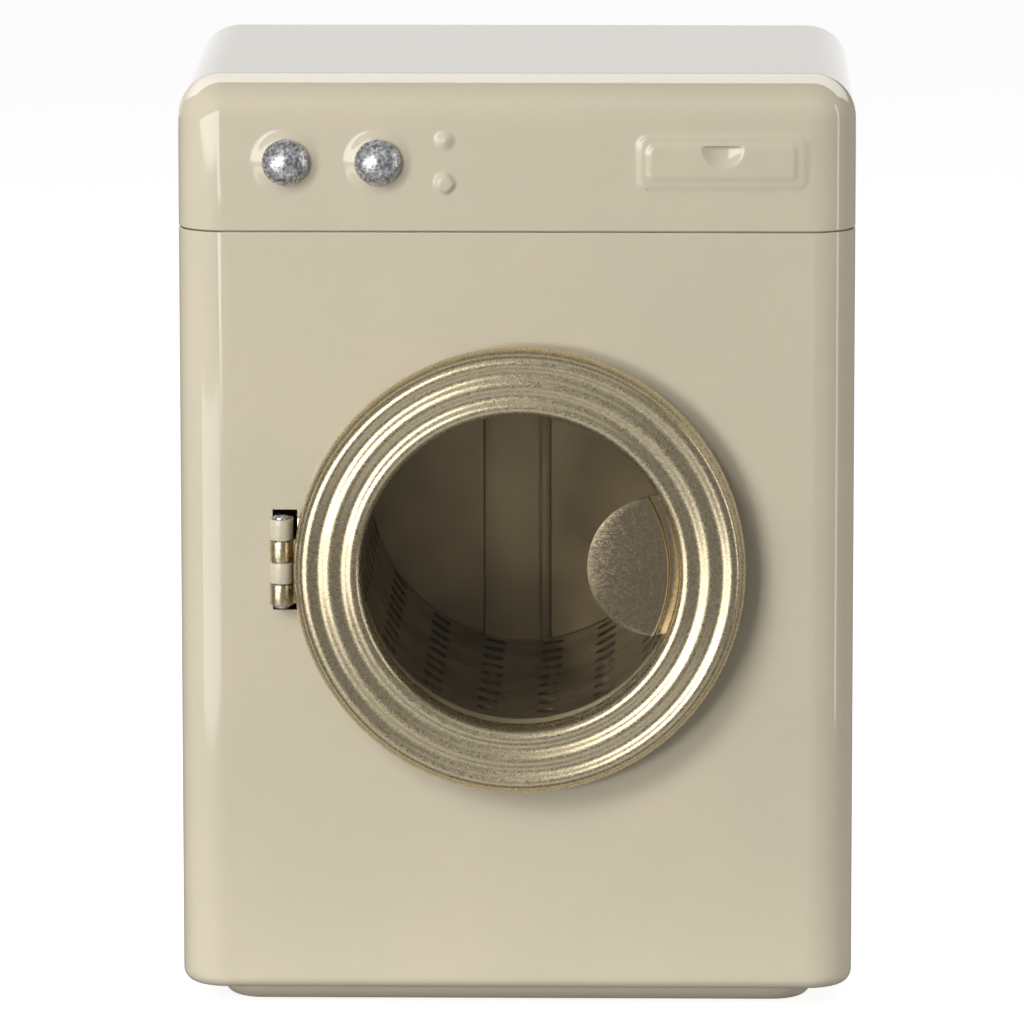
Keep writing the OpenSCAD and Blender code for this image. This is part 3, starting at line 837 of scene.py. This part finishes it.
# %% Mix the clear window
clear = Finish("clear_plastic_pane", Metallic=1.0)
scuffs = clear.noise(260, 4).over(0.62, 0.80)
mirror = clear.node("ShaderNodeFresnel", {}, {"IOR": 1.45})
through = clear.node("ShaderNodeBsdfTransparent", {}, {"Color": (0.99, 0.965, 0.91, 1)})
clear.feed("Base Color", clear.blend(scuffs, (0.95, 0.95, 0.95, 1), (0.8, 0.8, 0.78, 1)))
clear.feed("Roughness", scuffs * 0.2 + 0.04)
glossy = Value(clear, clear.shader.outputs[0])
pane_look = clear.node("ShaderNodeMixShader", {}, {
    0: mirror * 0.4 + scuffs * 0.01, 1: through, 2: glossy})
clear.tree.links.new(pane_look.socket, clear.tree.nodes["Material Output"].inputs["Surface"])
print("mixed", clear.material.name)

# %% [markdown]
# Each new piece is listed with its finish, the moving body that it rides on, the material slot of the
# record and the node that it stands for. It gets its finish and its body, and that node is hidden; the
# slot is not used. The lap is extra detail of the body, so it stands for none. The twelve nodes that
# keep their engineering shape only get a finish.

# %% Dress the pieces and the nodes that keep their shape
def dress(piece, finish):
    piece.data.materials.clear()
    piece.data.materials.append(finish.material)


NODE_FINISH = {
    "base_tray": cream, "drum_front_collar": cream, "drum": tin, "drum_rear_ring": tin,
    "door_back_ring": gold, "door_leaf_rivets": gold, "window_pane": clear,
    "catch_magnet": ferrite, "magnet_cup": steel, "left_knob_nut": steel, "right_knob_nut": steel,
    "knob_washers": steel}
for name, finish in NODE_FINISH.items():
    for place in nodes[name].material_slots:
        place.material = finish.material
PIECES = [
    (body, cream, "cabinet", "cream_paint", "body_shell"),
    (lap, cream, "cabinet", "cream_paint", None),
    (cap, cream, "cabinet", "cream_paint", "top_cap"),
    (ring, gold, "door", "champagne_paint", "door_ring"),
    (handle, flat_gold_painted_darker, "door", "champagne_paint", "handle_plate"),
    (door_leaf, gold, "door", "champagne_paint", "door_hinge_leaf"),
    (body_leaf, cream, "cabinet", "cream_paint", "body_hinge_leaf"),
    (pin, silver, "cabinet", "silver_steel", "hinge_pin"),
    (left_knob, silver, "left_knob", "silver_steel", "left_knob"),
    (right_knob, silver, "right_knob", "silver_steel", "right_knob")]
for piece, finish, rides, slot_name, node in PIECES:
    dress(piece, finish)
    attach(piece, rides)
    if node:
        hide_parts(node)
print("dressed", len(PIECES), "pieces and", len(NODE_FINISH), "nodes")

# %% [markdown]
# ## Floor, light and camera
# The photo was lit like a catalogue picture, on a white table before a white background. The table
# glows a little, to stand for strong light from all sides, and is kept out of the reflections.

# %% Lay the floor
deselect()
bpy.ops.mesh.primitive_plane_add(size=6, location=(0, 0, 0))
floor = bpy.context.active_object
floor.name = "studio_floor"
table = Finish("white_table", Roughness=0.9, Emission_Color=(1, 1, 1, 1), Emission_Strength=0.8)
table.feed("Base Color", table.blend(table.noise(3, 2), (0.50, 0.50, 0.495, 1), (0.52, 0.52, 0.515, 1)))
dress(floor, table)
floor.visible_glossy = False
floor.visible_diffuse = False
print("floor laid")

# %% [markdown]
# The room is an even dim glow that is slightly brighter above than below. It fills the shadows.

# %% Paint the room as an even glow
world = bpy.data.worlds.new("studio")
bpy.context.scene.world = world
world.use_nodes = True


class Room(Finish):
    def __init__(self, tree):
        self.tree = tree
        self.place = self.node("ShaderNodeTexCoord", output="Generated")


room = Room(world.node_tree)
up = room.part("Z")
level = up.over(-0.6, 0.6) * 0.04 + 0.20
glow = world.node_tree.nodes["Background"]
world.node_tree.links.new(level.socket, glow.inputs["Color"])
print("room painted")

# %% [markdown]
# Light on the paint and reflections in the gloss are set apart, because the photo fixes both. The
# three keys at the front left, a weak box in front, a fill from the right side and a strip of lit
# table give light and don't show in the gloss. A card at the left, a graded panel above and behind
# and five weaker boxes only show as reflections. The card has one corner cut off, as the highlight
# has.


# %% Hang the soft boxes
def soft_box(name, place, aim, size, radiance, diffuse=True, glossy=True):
    """A rectangle of light in mm, aimed at a point, with its brightness per area."""
    lamp = bpy.data.lights.new(name, "AREA")
    lamp.shape = "RECTANGLE"
    lamp.size, lamp.size_y = (v * MM for v in size)
    lamp.energy = radiance * lamp.size * lamp.size_y * math.pi
    holder = bpy.data.objects.new(name, lamp)
    bpy.context.collection.objects.link(holder)
    holder.location = Vector(place) * MM
    turn = (Vector(aim) - Vector(place)).to_track_quat("-Z", "Y")
    holder.rotation_euler = turn.to_euler()
    holder.visible_camera = False
    holder.visible_diffuse = diffuse
    holder.visible_glossy = glossy


def only_reflect(card, finish):
    """Makes a card glow, and hides it from all but the gloss."""
    dress(card, finish)
    card.visible_camera = False
    card.visible_diffuse = False
    card.visible_shadow = False


deselect()
bpy.ops.mesh.primitive_plane_add(
    size=1, location=(-0.3585, -0.465, 0.2005), rotation=(math.pi / 2, 0, math.radians(-32)))
bpy.context.active_object.scale = (0.54, 0.327, 1)
card = settle("soft_card")
edit(card)
pick(card, "VERT", lambda v: v.x < -500 and v.z > 350)
bpy.ops.mesh.dissolve_verts()
bpy.ops.object.mode_set(mode="OBJECT")
sail = Finish("lit_sail", Roughness=1.0, Emission_Color=(1, 1, 1, 1), Emission_Strength=5.2)
only_reflect(card, sail)

deselect()
bpy.ops.mesh.primitive_plane_add(size=1, location=(0, 0.337, 0.511), rotation=(math.radians(137), 0, 0))
bpy.context.active_object.scale = (1.6, 0.545, 1)
ceiling = settle("graded_panel")
veil = Finish("lit_veil", Roughness=1.0, Emission_Strength=1.0)
veil.feed("Emission Color", (veil.part("Z") - 0.325) * 11.0 + 1.2)
only_reflect(ceiling, veil)
soft_box("key_low", (-545, -870, 60), (0, 0, 60), (300, 300), 19.6, glossy=False)
soft_box("key_side", (-656, -687, 435), (0, 0, 60), (300, 300), 12.5, glossy=False)
soft_box("key_high", (-435, -701, 662), (0, 0, 60), (300, 300), 11.4, glossy=False)
soft_box("front_box", (0, -1031, 60), (0, 0, 60), (300, 300), 1.3, glossy=False)
soft_box("side_fill", (981, 55, 234), (0, 0, 60), (300, 300), 15.5, glossy=False)
soft_box("near_table", (0, -43, 0.3), (0, -43, 100), (400, 20), 0.54, glossy=False)
soft_box("low_card", (-358, -465, -65), (-38, -30, -65), (470, 90), 2.8, diffuse=False)
soft_box("upper_card", (0, -700, 800), (0, 0, 60), (1200, 500), 0.35, diffuse=False)
soft_box("lower_card", (0, -500, -400), (0, 0, 60), (1200, 400), 0.45, diffuse=False)
soft_box("rear_card", (-270, 620, 190), (-270, 0, 150), (900, 330), 0.84, diffuse=False)
soft_box("right_strip", (560, -170, 150), (0, 0, 70), (60, 520), 3.6, diffuse=False)
bpy.context.scene.view_settings.view_transform = "Standard"

# %% [markdown]
# The camera was fitted to the photo's outline: a long lens, a bit over a metre away, looking down by
# ten degrees.

# %% Place the camera
lens = bpy.data.cameras.new("camera")
lens.sensor_width = 36
lens.lens = 312.68
camera = bpy.data.objects.new("camera", lens)
bpy.context.collection.objects.link(camera)
camera.location = (0.02041, -1.150, 0.26186)
camera.rotation_euler = [math.radians(v) for v in (80.033, 0.039, 1.066)]
lens.clip_start = 0.05
lens.clip_end = 20
bpy.context.scene.camera = camera
print("camera at", [round(v, 3) for v in camera.location])

# %% [markdown]
# At the end nothing is left selected.

# %% Leave nothing selected
deselect()
